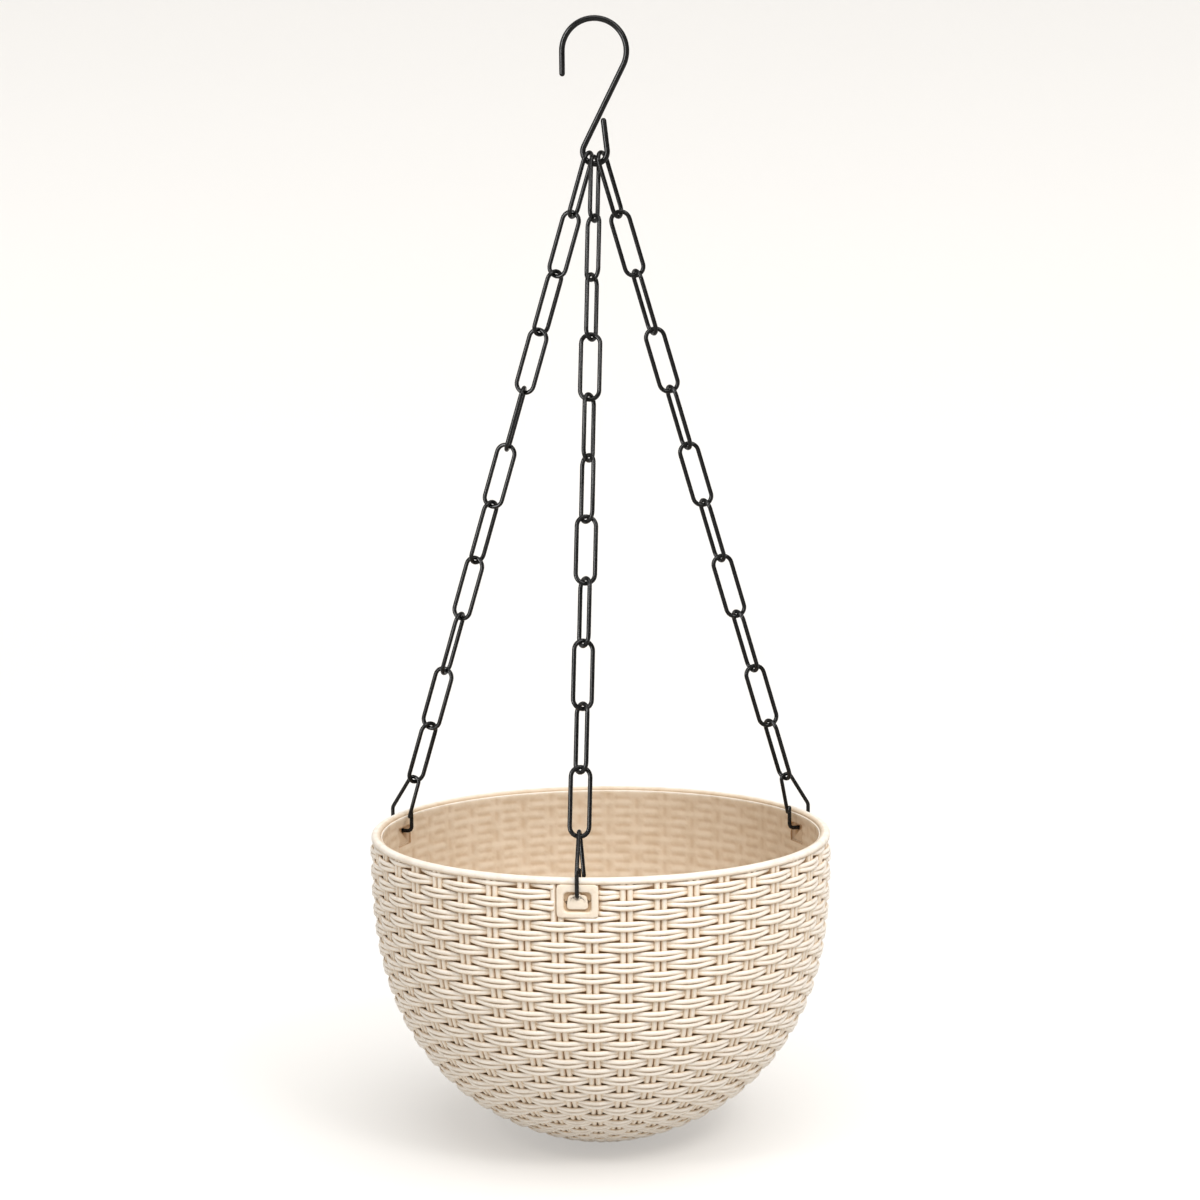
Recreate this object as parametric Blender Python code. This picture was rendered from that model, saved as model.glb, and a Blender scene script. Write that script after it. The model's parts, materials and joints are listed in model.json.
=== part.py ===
"""Hanging basket planter.

A moulded, wicker-look bowl hangs on three chains of long wire links. A bent wire
clip joins each chain to a pad below the rim, and the three top links share the
lower loop of one S-shaped wire hook. The origin is the seat of the hook, where it
rests on a bar, so the whole object lies below it. Metres, +Z up, front towards -Y.
"""

import bpy
import bmesh
from math import acos, asin, atan2, cos, degrees, pi, radians, sin, sqrt
from mathutils import Matrix, Vector

MM = 0.001

# Running clearance between pieces that touch
SEAT_GAP = 0.3 * MM

# Top hook, bent from one wire
HOOK_WIRE = 3.2 * MM
HOOK_BEND_INSIDE = 15.8 * MM
HOOK_DROP = 53.6 * MM
HOOK_TAIL = 11.9 * MM
LOOP_INSIDE = 5.0 * MM
LOOP_TAIL_RISE = 16.4 * MM

# Chain links
LINK_COUNT = 11
LINK_WIRE = 2.4 * MM
LINK_LENGTH = 38.5 * MM
LINK_WIDTH = 12.6 * MM
LINK_PLAY = 0.4 * MM

# Where the three top links sit in the loop of the hook
TOP_SEAT_ROOM = 0.9 * MM
TOP_LINK_ANGLES = {"front": 0.0, "left": -80.0, "right": 80.0}
TOP_LINK_SHIFTS = {"front": 0.6 * MM, "left": -0.3 * MM, "right": 0.3 * MM}

# Wire clips between the chains and the bowl
CLIP_WIRE = 2.2 * MM
CLIP_LENGTH = 33.0 * MM
CLIP_EYE_INSIDE = 1.6 * MM
CLIP_BEND = 2.6 * MM
CLIP_SHOULDER_BEND = 4.0 * MM
CLIP_REACH_INSIDE = 4.9 * MM
CLIP_LATCH_RISE = 10.4 * MM
CLIP_LATCH_OVERLAP = 3.0 * MM
CLIP_SHOULDER_RISE = 2.4 * MM

# Bowl
BOWL_RADIUS = 126.0 * MM
BOWL_HEIGHT = 173.0 * MM
FOOT_RADIUS = 22.0 * MM
WALL = 4.2 * MM
BASE_THICKNESS = 3.0 * MM
RIM_OVERHANG = 1.4 * MM
RIM_WIDTH = 5.2 * MM
RIM_HEIGHT = 5.0 * MM
RIM_TOP_ROUND = 2.0 * MM
RIM_UNDER_ROUND = 1.0 * MM
LEDGE_DEPTH = 1.8 * MM

# Outline of the bowl: radius share = (1 - depth share ** BELLY) ** TUCK
BELLY = 3.0
TUCK = 0.62

# Moulded weave outside: rows of canes pass over and under upright pairs of ribs
WEAVE_PAIRS = 44
WEAVE_TURN = -2.2
WEAVE_ROW = 5.5 * MM
WEAVE_ROW_LIMIT = 7.1 * MM
WEAVE_FIRST_ROW = 9.3 * MM
WEAVE_RISE = 2.2 * MM
WEAVE_FULL_RADIUS = 63.0 * MM
WEAVE_END_RADIUS = 42.0 * MM

# Pads below the rim that take the clips
PAD_ANGLES = {"front": -5.5, "left": -112.0, "right": 112.0}
PAD_WIDTH = 21.6 * MM
PAD_HEIGHT = 16.6 * MM
PAD_STAND = 1.0 * MM
PAD_CORNER = 1.4 * MM
WINDOW_WIDTH = 14.4 * MM
WINDOW_HEIGHT = 10.4 * MM
WINDOW_TOP = 2.8 * MM
WINDOW_DEPTH = 1.8 * MM
WINDOW_CORNER = 1.8 * MM
PANEL_MARGIN = 0.9 * MM
PANEL_TAPER = 1.1 * MM
PANEL_RISE = 0.8 * MM
PANEL_CORNER = 1.2 * MM
POCKET_DEPTH = 0.9 * MM
HOLE_DIAMETER = 3.6 * MM
HOLE_BELOW_RIM = 4.8 * MM

# Drain holes in the foot
DRAIN_COUNT = 6
DRAIN_DIAMETER = 6.5 * MM
DRAIN_CIRCLE = 27.0 * MM

# Overrun of cutters past what they cut
OVERRUN = 1.5 * MM

# Fineness of the solids
WIRE_RESOLUTION = 2
LINK_END_STEPS = 6
HOOK_BEND_STEPS = 12
BEND_STEPS = 4
WALL_STEPS = 7
ROUND_STEPS = 2
HOLE_SIDES = 16
CORNER_SEGMENTS = 2

# Turn of each link about its chain, seen from the front: 0 is full face, 90 edge on
LINK_TURNS = {
    "front": (65, -50, 60, -2, 62, -54, 8, -61, 18, -57, 10),
    "left": (65, -28, 43, -21, 80, -15, 49, -28, 68, -24, 40),
    "right": (65, -3, -67, -1, -65, 2, -62, 4, -60, 8, -56),
}

# Points closer than this are one point
MERGE = 0.01 * MM

# Values that follow from the sizes above
HOOK_BEND = HOOK_BEND_INSIDE + HOOK_WIRE / 2
LOOP_BEND = LOOP_INSIDE + HOOK_WIRE / 2
LOOP_CENTRE_Z = -HOOK_BEND_INSIDE - HOOK_DROP
LINK_END = (LINK_WIDTH - LINK_WIRE) / 2
LINK_HALF = (LINK_LENGTH - LINK_WIRE) / 2
LINK_PITCH = LINK_LENGTH - 2 * LINK_WIRE - LINK_PLAY
TOP_SEAT = LOOP_INSIDE - LINK_WIRE / 2 - TOP_SEAT_ROOM
CLIP_EYE = CLIP_EYE_INSIDE + CLIP_WIRE / 2
EYE_SEAT = (LINK_WIRE + CLIP_WIRE) / 2 + SEAT_GAP
RIM_OUTSIDE = BOWL_RADIUS + RIM_OVERHANG
RIM_INSIDE = RIM_OUTSIDE - RIM_WIDTH
PAD_FACE = BOWL_RADIUS + PAD_STAND
HOLE_RADIUS = BOWL_RADIUS - WALL / 2
HOLE_DEPTH = RIM_HEIGHT + HOLE_BELOW_RIM
FOOT_SHARE = (1 - (FOOT_RADIUS / BOWL_RADIUS) ** (1 / TUCK)) ** (1 / BELLY)
OUTLINE_DEPTH = BOWL_HEIGHT / FOOT_SHARE


def clear_scene():
    for item in list(bpy.data.objects):
        bpy.data.objects.remove(item, do_unlink=True)


def make_collection(name):
    collection = bpy.data.collections.new(name)
    bpy.context.scene.collection.children.link(collection)
    return collection


def make_material(name, colour, roughness, metallic=0.0):
    material = bpy.data.materials.new(name)
    material.use_nodes = True
    shader = material.node_tree.nodes["Principled BSDF"]
    shader.inputs["Base Color"].default_value = (*colour, 1.0)
    shader.inputs["Roughness"].default_value = roughness
    shader.inputs["Metallic"].default_value = metallic
    material.diffuse_color = (*colour, 1.0)
    return material


def add_object(name, data, collection):
    item = bpy.data.objects.new(name, data)
    collection.objects.link(item)
    return item


def add_pivot(name, collection, place):
    pivot = bpy.data.objects.new(name, None)
    pivot.empty_display_size = LINK_WIDTH
    pivot.matrix_world = place
    collection.objects.link(pivot)
    return pivot


def hang_on(child, parent):
    """Parent a piece without moving it."""
    bpy.context.view_layer.update()
    child.parent = parent
    child.matrix_parent_inverse = parent.matrix_world.inverted()


def arc(centre, radius, start, end, steps):
    """Points on an arc in a plane, angles in radians from the first axis."""
    turn = [start + (end - start) * i / steps for i in range(steps + 1)]
    return [Vector((centre[0] + radius * cos(a), centre[1] + radius * sin(a))) for a in turn]


def rounded(corners, radii, steps):
    """Replace each inner corner of a 3D path by an arc of the radius given for it."""
    path = [corners[0]]
    for before, corner, after, radius in zip(corners, corners[1:], corners[2:], radii):
        into = (before - corner).normalized()
        away = (after - corner).normalized()
        half = into.angle(away) / 2
        middle = corner + (into + away).normalized() * radius / sin(half)
        first = corner + into * radius * cos(half) / sin(half) - middle
        last = corner + away * radius * cos(half) / sin(half) - middle
        axis = first.cross(last)
        sweep = first.angle(last)
        for i in range(steps + 1):
            path.append(middle + Matrix.Rotation(sweep * i / steps, 3, axis) @ first)
    path.append(corners[-1])
    return path


def wire_curve(name, points, diameter, material, closed=False):
    """A round wire along a path, as a curve with a bevel."""
    curve = bpy.data.curves.new(name, "CURVE")
    curve.dimensions = "3D"
    curve.bevel_depth = diameter / 2
    curve.bevel_resolution = WIRE_RESOLUTION
    curve.use_fill_caps = not closed
    spline = curve.splines.new("POLY")
    spline.points.add(len(points) - 1)
    for point, place in zip(spline.points, points):
        point.co = (*place, 1.0)
    spline.use_cyclic_u = closed
    curve.materials.append(material)
    return curve


def hook_path():
    """Centreline of the hook in the XZ plane, from its open end to the loop's tail."""
    bend_z = -HOOK_BEND_INSIDE
    lean = asin((HOOK_BEND + LOOP_BEND) / HOOK_DROP)
    path = [Vector((-HOOK_BEND, bend_z - HOOK_TAIL))]
    path += arc((0, bend_z), HOOK_BEND, pi, -lean, 2 * HOOK_BEND_STEPS)
    side = LOOP_BEND * cos(lean)
    rise = (LOOP_TAIL_RISE - LOOP_BEND * sin(lean)) / cos(lean)
    tail_x = rise * sin(lean) - side + (HOOK_WIRE + SEAT_GAP) / cos(lean)
    reach = sqrt(tail_x ** 2 + LOOP_TAIL_RISE ** 2)
    leave = atan2(LOOP_TAIL_RISE, tail_x) - acos(LOOP_BEND / reach)
    path += arc((0, LOOP_CENTRE_Z), LOOP_BEND, pi - lean, 2 * pi + leave, 2 * HOOK_BEND_STEPS)
    path.append(Vector((tail_x, LOOP_CENTRE_Z + LOOP_TAIL_RISE)))
    return [Vector((x, 0, z)) for x, z in path]


def link_path():
    """Centreline of a link: two straight sides joined by half circles."""
    straight = LINK_HALF - LINK_END
    ends = arc((0, straight), LINK_END, 0, pi, LINK_END_STEPS)
    ends += arc((0, -straight), LINK_END, pi, 2 * pi, LINK_END_STEPS)
    return [Vector((x, 0, z)) for x, z in ends]


def radial(angle, radius, z):
    """Point at an angle in degrees from the front, seen from above, left negative."""
    return Vector((radius * sin(radians(angle)), -radius * cos(radians(angle)), z))


def top_seat(side):
    """Middle of a top link's wire where it rests in the hook's loop."""
    angle = radians(TOP_LINK_ANGLES[side])
    z = LOOP_CENTRE_Z - TOP_SEAT * cos(angle)
    return Vector((TOP_SEAT * sin(angle), TOP_LINK_SHIFTS[side], z))


def chain_length():
    """Hook seat to pad hole when the links hang one seat gap apart."""
    links = 2 * LINK_HALF + (LINK_COUNT - 1) * LINK_PITCH
    return links - EYE_SEAT + CLIP_LENGTH


def rim_height():
    """Height of the rim's top, which the front chain sets."""
    seat = top_seat("front")
    hole = radial(PAD_ANGLES["front"], HOLE_RADIUS, seat.z)
    return seat.z - sqrt(chain_length() ** 2 - (hole - seat).length ** 2) + HOLE_DEPTH


def outline(radius, full_depth, depth):
    """Radius of the bowl's outline at a depth below the rim."""
    return radius * (1 - (depth / full_depth) ** BELLY) ** TUCK


def outline_lean(depth):
    """Lean of the outside from upright at a depth, in radians."""
    fall = outline(BOWL_RADIUS, OUTLINE_DEPTH, depth) - outline(BOWL_RADIUS, OUTLINE_DEPTH, depth + MERGE)
    return atan2(fall, MERGE)


def weave_rows():
    """Depths of the rows of canes: level steps, then even steps along the wall as it turns under."""
    depths = []
    depth = WEAVE_FIRST_ROW
    while outline(BOWL_RADIUS, OUTLINE_DEPTH, depth) > WEAVE_END_RADIUS:
        depths.append(depth)
        depth += min(WEAVE_ROW, WEAVE_ROW_LIMIT * cos(outline_lean(depth)))
    return depths


def bowl_profile(rim_z):
    """Closed section of the bowl, from the floor inside up, over the rim and down."""
    inside = BOWL_RADIUS - WALL
    floor = BOWL_HEIGHT - BASE_THICKNESS
    inner_depth = OUTLINE_DEPTH - BASE_THICKNESS
    points = [Vector((0, -floor))]
    for i in reversed(range(WALL_STEPS + 1)):
        depth = LEDGE_DEPTH + (floor - LEDGE_DEPTH) * sin(i / WALL_STEPS * pi / 2)
        points.append(Vector((outline(inside, inner_depth, depth), -depth)))
    points.append(Vector((RIM_INSIDE, -LEDGE_DEPTH)))
    points.append(Vector((RIM_INSIDE, -RIM_UNDER_ROUND)))
    inner_round = (RIM_INSIDE + RIM_UNDER_ROUND, -RIM_UNDER_ROUND)
    points += arc(inner_round, RIM_UNDER_ROUND, pi, pi / 2, ROUND_STEPS)[1:]
    outer_round = (RIM_OUTSIDE - RIM_TOP_ROUND, -RIM_TOP_ROUND)
    points += arc(outer_round, RIM_TOP_ROUND, pi / 2, 0, ROUND_STEPS)
    under_round = (RIM_OUTSIDE - RIM_UNDER_ROUND, RIM_UNDER_ROUND - RIM_HEIGHT)
    points += arc(under_round, RIM_UNDER_ROUND, 0, -pi / 2, ROUND_STEPS)
    for depth in [RIM_HEIGHT] + weave_rows() + [BOWL_HEIGHT]:
        points.append(Vector((outline(BOWL_RADIUS, OUTLINE_DEPTH, depth), -depth)))
    points.append(Vector((0, -BOWL_HEIGHT)))
    return [radial(WEAVE_TURN, x, z + rim_z) for x, z in points]


def turned_bowl(rim_z):
    """Turn the bowl's section, one step for each pair of ribs, and raise its weave."""
    work = bmesh.new()
    line = [work.verts.new(point) for point in bowl_profile(rim_z)]
    edges = [work.edges.new(ends) for ends in zip(line, line[1:])]
    bmesh.ops.spin(work, geom=line + edges, cent=(0, 0, 0), axis=(0, 0, 1), angle=2 * pi,
                   steps=WEAVE_PAIRS, use_merge=True)
    bmesh.ops.remove_doubles(work, verts=work.verts, dist=MERGE)
    bmesh.ops.recalc_face_normals(work, faces=work.faces)
    for row, depth in enumerate(weave_rows()):
        raise_canes(work, rim_z, depth, row)
    bmesh.ops.triangulate(work, faces=work.faces, quad_method="SHORT_EDGE")
    return work


def raise_canes(work, rim_z, depth, row):
    """Lift one row of canes where they pass over a pair of ribs: every other pair."""
    outside = outline(BOWL_RADIUS, OUTLINE_DEPTH, depth)
    lean = outline_lean(depth)
    rise = WEAVE_RISE * min(1.0, outside / WEAVE_FULL_RADIUS)
    for vert in work.verts:
        level = abs(rim_z - depth - vert.co.z) < MERGE
        if level and vert.co.xy.length > outside - WALL / 2 and not behind_pad(vert.co, depth):
            angle = degrees(atan2(vert.co.x, -vert.co.y))
            pair = round((angle - WEAVE_TURN) * WEAVE_PAIRS / 360)
            if (pair + row) % 2 == 0:
                vert.co += radial(angle, rise * cos(lean), -rise * sin(lean))


def behind_pad(place, depth):
    """True where a pad takes the place of the weave."""
    if depth > RIM_HEIGHT + PAD_HEIGHT:
        return False
    across = [pad_frame(angle, 0, 0).inverted() @ place for angle in PAD_ANGLES.values()]
    return any(abs(p.x) < PAD_WIDTH / 2 and p.y > 0 for p in across)


def add_block(work, size, corner, place):
    """A box with its upright edges rounded, in the pad's frame: across, out, up."""
    part = bmesh.new()
    bmesh.ops.create_cube(part, size=1.0)
    bmesh.ops.scale(part, vec=size, verts=part.verts)
    upright = [e for e in part.edges if abs(e.verts[0].co.y - e.verts[1].co.y) > size.y / 2]
    bmesh.ops.bevel(part, geom=upright, offset=corner, segments=CORNER_SEGMENTS,
                    profile=0.5, affect="EDGES")
    bmesh.ops.transform(part, matrix=place, verts=part.verts)
    add_part(work, part)


def add_panel(work, size, taper, corner, place):
    """The tapered panel in a pad's window, narrower at its top."""
    part = bmesh.new()
    bmesh.ops.create_cube(part, size=1.0)
    bmesh.ops.scale(part, vec=size, verts=part.verts)
    for vert in part.verts:
        if vert.co.z > 0:
            vert.co.x -= taper if vert.co.x > 0 else -taper
    upright = [e for e in part.edges if abs(e.verts[0].co.y - e.verts[1].co.y) > size.y / 2]
    bmesh.ops.bevel(part, geom=upright, offset=corner, segments=CORNER_SEGMENTS,
                    profile=0.5, affect="EDGES")
    bmesh.ops.transform(part, matrix=place, verts=part.verts)
    add_part(work, part)


def add_rod(work, diameter, length, place):
    """A round rod along the Z axis of its place."""
    part = bmesh.new()
    bmesh.ops.create_cone(part, cap_ends=True, segments=HOLE_SIDES, radius1=diameter / 2,
                          radius2=diameter / 2, depth=length)
    bmesh.ops.transform(part, matrix=place, verts=part.verts)
    add_part(work, part)


def add_part(work, part):
    """Copy one small mesh into the mesh being gathered."""
    mesh = bpy.data.meshes.new("part")
    part.to_mesh(mesh)
    part.free()
    work.from_mesh(mesh)
    bpy.data.meshes.remove(mesh)


def cutter_object(name, work, collection):
    mesh = bpy.data.meshes.new(name)
    work.to_mesh(mesh)
    work.free()
    item = add_object(name, mesh, collection)
    item.hide_render = True
    item.display_type = "WIRE"
    return item


def cut(item, tool, operation):
    boolean = item.modifiers.new(tool.name, "BOOLEAN")
    boolean.operation = operation
    boolean.solver = "EXACT"
    boolean.object = tool


def pad_frame(angle, radius, z):
    """Place whose X runs across the pad, Y out of the bowl and Z up."""
    turn = Matrix.Rotation(radians(angle) + pi, 4, "Z")
    return Matrix.Translation(radial(angle, radius, z)) @ turn


def shape_pads(bowl, rim_z, cutters):
    """Raised pads below the rim, each with a window, a tapered panel and a clip hole."""
    lip = rim_z - RIM_HEIGHT
    root = PAD_STAND + WALL / 2
    pads = bmesh.new()
    windows = bmesh.new()
    panels = bmesh.new()
    holes = bmesh.new()
    for angle in PAD_ANGLES.values():
        pad_z = lip - PAD_HEIGHT / 2 + OVERRUN / 2
        middle = pad_frame(angle, PAD_FACE - root / 2, pad_z)
        size = Vector((PAD_WIDTH, root, PAD_HEIGHT + OVERRUN))
        add_block(pads, size, PAD_CORNER, middle)
        window_z = lip - WINDOW_TOP - WINDOW_HEIGHT / 2
        window = Vector((WINDOW_WIDTH, WINDOW_DEPTH + OVERRUN, WINDOW_HEIGHT))
        outer = PAD_FACE + (OVERRUN - WINDOW_DEPTH) / 2
        add_block(windows, window, WINDOW_CORNER, pad_frame(angle, outer, window_z))
        pocket = Vector((WINDOW_WIDTH, POCKET_DEPTH + OVERRUN, WINDOW_HEIGHT))
        inner = BOWL_RADIUS - WALL + (POCKET_DEPTH - OVERRUN) / 2
        add_block(windows, pocket, PAD_CORNER, pad_frame(angle, inner, window_z))
        width = WINDOW_WIDTH - 2 * PANEL_MARGIN
        height = WINDOW_HEIGHT - 2 * PANEL_MARGIN
        panel = Vector((width, PANEL_RISE + SEAT_GAP, height))
        face = PAD_FACE - WINDOW_DEPTH + (PANEL_RISE - SEAT_GAP) / 2
        place = pad_frame(angle, face, window_z)
        add_panel(panels, panel, PANEL_TAPER, PANEL_CORNER, place)
        lying = Matrix.Rotation(pi / 2, 4, "X")
        length = WALL + PAD_STAND + 2 * OVERRUN
        hole = pad_frame(angle, PAD_FACE + OVERRUN - length / 2, rim_z - HOLE_DEPTH)
        add_rod(holes, HOLE_DIAMETER, length, hole @ lying)
    for i in range(DRAIN_COUNT):
        foot = radial(360 * i / DRAIN_COUNT, DRAIN_CIRCLE / 2, rim_z - BOWL_HEIGHT)
        place = Matrix.Translation(foot + Vector((0, 0, BASE_THICKNESS / 2)))
        add_rod(holes, DRAIN_DIAMETER, BASE_THICKNESS + 2 * OVERRUN, place)
    cut(bowl, cutter_object("pad_blocks", pads, cutters), "UNION")
    cut(bowl, cutter_object("pad_windows", windows, cutters), "DIFFERENCE")
    cut(bowl, cutter_object("pad_panels", panels, cutters), "UNION")
    cut(bowl, cutter_object("clip_and_drain_holes", holes, cutters), "DIFFERENCE")


def chain_frame(side, rim_z):
    """Top seat, pad hole and the chain's directions: along, across and out."""
    seat = top_seat(side)
    hole = radial(PAD_ANGLES[side], HOLE_RADIUS, rim_z - HOLE_DEPTH)
    along = (seat - hole).normalized()
    across = Vector((0, 0, 1)).cross(along).normalized()
    return seat, hole, along, across


def clip_path(along):
    """Centreline of a clip from the pad hole, in across, out and up directions."""
    lean = asin(sqrt(along.x ** 2 + along.y ** 2))
    up = Vector((0, -sin(lean), cos(lean)))
    out = Vector((0, cos(lean), sin(lean)))
    stand = RIM_OUTSIDE - HOLE_RADIUS + CLIP_WIRE / 2 + SEAT_GAP
    inside = -WALL / 2 - CLIP_REACH_INSIDE
    beside = Vector((-CLIP_WIRE - SEAT_GAP, 0, 0))
    latch = Vector((0, inside, CLIP_LATCH_RISE))
    overlap = Vector((0, 0, CLIP_LATCH_OVERLAP / 2))
    shoulder = HOLE_DEPTH + CLIP_WIRE / 2 + CLIP_SHOULDER_RISE
    corners = [
        latch + overlap,
        Vector((0, inside, 0)),
        Vector((0, stand, 0)),
        Vector((0, stand, shoulder)),
        up * CLIP_LENGTH + out * CLIP_EYE,
        up * CLIP_LENGTH - out * CLIP_EYE,
        latch - overlap + beside,
    ]
    radii = [CLIP_BEND, CLIP_BEND, CLIP_SHOULDER_BEND, CLIP_EYE, CLIP_EYE]
    return rounded(corners, radii, BEND_STEPS)


def frame_matrix(x, y, z, place):
    turn = Matrix((x, y, z)).transposed().to_4x4()
    return Matrix.Translation(place) @ turn


def build():
    clear_scene()
    parts = make_collection("hanging_basket_planter")
    cutters = make_collection("cutters")
    cream = make_material("cream_plastic", (0.80, 0.70, 0.57), 0.38)
    black = make_material("black_wire", (0.012, 0.012, 0.013), 0.33)

    hook_wire = wire_curve("hook", hook_path(), HOOK_WIRE, black)
    hook = add_object("hook", hook_wire, parts)
    swing = Matrix.Translation((0, 0, LOOP_CENTRE_Z))
    pivot = add_pivot("basket_pivot", parts, swing)
    hang_on(pivot, hook)

    rim_z = rim_height()
    bowl_mesh = bpy.data.meshes.new("bowl")
    shell = turned_bowl(rim_z)
    shell.to_mesh(bowl_mesh)
    shell.free()
    bowl_mesh.shade_smooth()
    bowl_mesh.materials.append(cream)
    bowl = add_object("bowl", bowl_mesh, parts)
    shape_pads(bowl, rim_z, cutters)
    hang_on(bowl, pivot)

    link_wire = wire_curve("link", link_path(), LINK_WIRE, black, closed=True)
    for side in PAD_ANGLES:
        seat, hole, along, across = chain_frame(side, rim_z)
        outward = Vector((0, 0, 1)).cross(across)
        clip_wire = wire_curve("clip", clip_path(along), CLIP_WIRE, black)
        carrier = add_object("clip_" + side, clip_wire, parts)
        carrier.matrix_world = frame_matrix(across, outward, Vector((0, 0, 1)), hole)
        hang_on(carrier, bowl)
        face = atan2(along.cross(across).x, across.x)
        length = (seat - hole).length + EYE_SEAT - CLIP_LENGTH
        pitch = (length - 2 * LINK_HALF) / (LINK_COUNT - 1)
        for i in reversed(range(LINK_COUNT)):
            turn = face + radians(LINK_TURNS[side][i])
            width = across * cos(turn) + along.cross(across) * sin(turn)
            middle = seat - along * (LINK_HALF + pitch * i)
            item = add_object("link_%s_%02d" % (side, i + 1), link_wire, parts)
            item.matrix_world = frame_matrix(width, along.cross(width), along, middle)
            hang_on(item, carrier)
            carrier = item


build()
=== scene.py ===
import json
from bisect import bisect_right
from math import acos, asin, atan2, ceil, cos, pi, radians, sin, sqrt

import bmesh
import bpy
from mathutils import Matrix, Vector

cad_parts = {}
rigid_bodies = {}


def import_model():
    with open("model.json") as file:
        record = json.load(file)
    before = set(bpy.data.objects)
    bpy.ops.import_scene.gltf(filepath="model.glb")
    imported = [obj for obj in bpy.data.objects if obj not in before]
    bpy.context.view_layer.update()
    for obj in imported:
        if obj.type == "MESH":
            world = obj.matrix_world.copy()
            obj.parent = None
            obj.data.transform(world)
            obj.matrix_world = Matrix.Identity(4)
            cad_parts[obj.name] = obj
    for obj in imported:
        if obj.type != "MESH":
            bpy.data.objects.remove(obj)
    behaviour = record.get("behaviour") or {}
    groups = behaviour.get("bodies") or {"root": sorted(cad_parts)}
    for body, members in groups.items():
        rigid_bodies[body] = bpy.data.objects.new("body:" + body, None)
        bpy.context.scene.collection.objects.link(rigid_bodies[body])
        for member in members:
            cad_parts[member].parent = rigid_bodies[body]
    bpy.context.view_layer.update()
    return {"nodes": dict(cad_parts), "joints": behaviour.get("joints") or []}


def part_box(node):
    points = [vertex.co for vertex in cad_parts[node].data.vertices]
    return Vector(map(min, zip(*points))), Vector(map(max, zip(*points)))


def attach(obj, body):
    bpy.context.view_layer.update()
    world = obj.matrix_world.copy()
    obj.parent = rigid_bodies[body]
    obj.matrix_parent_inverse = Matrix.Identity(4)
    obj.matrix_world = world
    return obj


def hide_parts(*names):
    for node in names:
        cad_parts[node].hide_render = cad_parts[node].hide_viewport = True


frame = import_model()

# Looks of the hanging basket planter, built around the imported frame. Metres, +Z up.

MM = 0.001

# Running clearance between pieces that touch
SEAT_GAP = 0.3 * MM

# Top hook
HOOK_WIRE = 3.2 * MM
HOOK_BEND_INSIDE = 15.8 * MM
HOOK_DROP = 53.6 * MM
HOOK_TAIL = 11.9 * MM
LOOP_INSIDE = 5.0 * MM
LOOP_TAIL_RISE = 16.4 * MM

# Chain links
LINK_WIRE = 2.4 * MM
LINK_LENGTH = 38.5 * MM
LINK_WIDTH = 12.6 * MM

# Wire clips
CLIP_WIRE = 2.2 * MM
CLIP_LENGTH = 33.0 * MM
CLIP_EYE_INSIDE = 1.6 * MM
CLIP_BEND = 2.6 * MM
CLIP_SHOULDER_BEND = 4.0 * MM
CLIP_REACH_INSIDE = 4.9 * MM
CLIP_LATCH_RISE = 10.4 * MM
CLIP_LATCH_OVERLAP = 3.0 * MM
CLIP_SHOULDER_RISE = 2.4 * MM

# Bowl outline
BOWL_RADIUS = 126.0 * MM
BOWL_HEIGHT = 173.0 * MM
FOOT_RADIUS = 22.0 * MM
WALL = 4.2 * MM
BASE_THICKNESS = 3.0 * MM
WALL_COVER = 0.5 * MM
BELLY = 3.0
TUCK = 0.62

# Rolled rim
RIM_OVERHANG = 1.4 * MM
RIM_WIDTH = 5.2 * MM
RIM_HEIGHT = 3.5 * MM
RIM_OUTER_ROUND = 1.9 * MM
RIM_INNER_ROUND = 1.4 * MM
RIM_CREST_SLOPE = 3.1 * MM
RIM_UNDER_ROUND = 1.1 * MM
LEDGE_DEPTH = 1.8 * MM
LEDGE_ROUND = 0.4 * MM

# Upright ribs of the moulded weave, heights above the recessed wall between the canes
RECESS = 1.3 * MM
STAKE_COUNT = 44
STAKE_TURN = -2.2
STAKE_HEIGHT = 1.85 * MM
STAKE_ROOT = 0.3 * MM
STAKE_PAIR_WIDTH = 7.2 * MM
STAKE_GROOVE = 0.4 * MM
STAKE_NARROWING = 0.3

# Canes of the weave: two lie side by side in a row and pass over every other pair of ribs
ROW_PITCH = 5.5 * MM
ROW_PITCH_LIMIT = 7.1 * MM
FIRST_ROW_DEPTH = 3.8 * MM
FIRST_ROW_TUCK = 0.9 * MM
CANE_THICKNESS = 1.15 * MM
CANE_CROWN = 2.35 * MM
CANE_DIVE = 1.4 * MM
CANE_UNDER = 0.93
CANE_LIT_SIDE = 0.5
FLOAT_HALF = 2.8 * MM
FLOAT_END = 0.8
UPPER_HALF = 1.34 * MM
UPPER_TUCK = 0.5 * MM
UPPER_SINK = 0.35 * MM
LOWER_HALF = 1.34 * MM
LOWER_TUCK = 0.62 * MM
WEAVE_END_RADIUS = 31.0 * MM

# Faint print of the weave on the inside
PRINT_HEIGHT = 0.35 * MM
PRINT_STEPS = 4

# Painted light and shade on the moulding, a value per point that picks the colour: 0 is the darkest painted
# shade in a crevice, 1 a painted highlight on a crown
STAKE_SHADE = (0.3, 0.6)
CANE_SHADE = (0.36, 0.68)
# Painted shade on a cane's ends, where it dives behind the next pair of ribs
CANE_DIVE_SHADE_FROM = 0.7
CANE_DIVE_SHADE_OVER = 0.18
CANE_DIVE_SHADE = 0.7
# Painted shade on the rim's inner slope and underside
RIM_SLOPE_SHADE = 0.62
RIM_SLOPE_SHARE = 0.7
RIM_UNDER_SHADE = 0.45
# Painted shade in the inner print's hollows, on cut faces and at a pad's root; plain surfaces and pads take
# steady values
PRINT_SHADE = (0.45, 0.3)
PLAIN_SHADE = 0.7
CUT_SHADE = 0.4
PAD_SHADE = 0.8
PAD_ROOT_SHADE = 0.35

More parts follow.
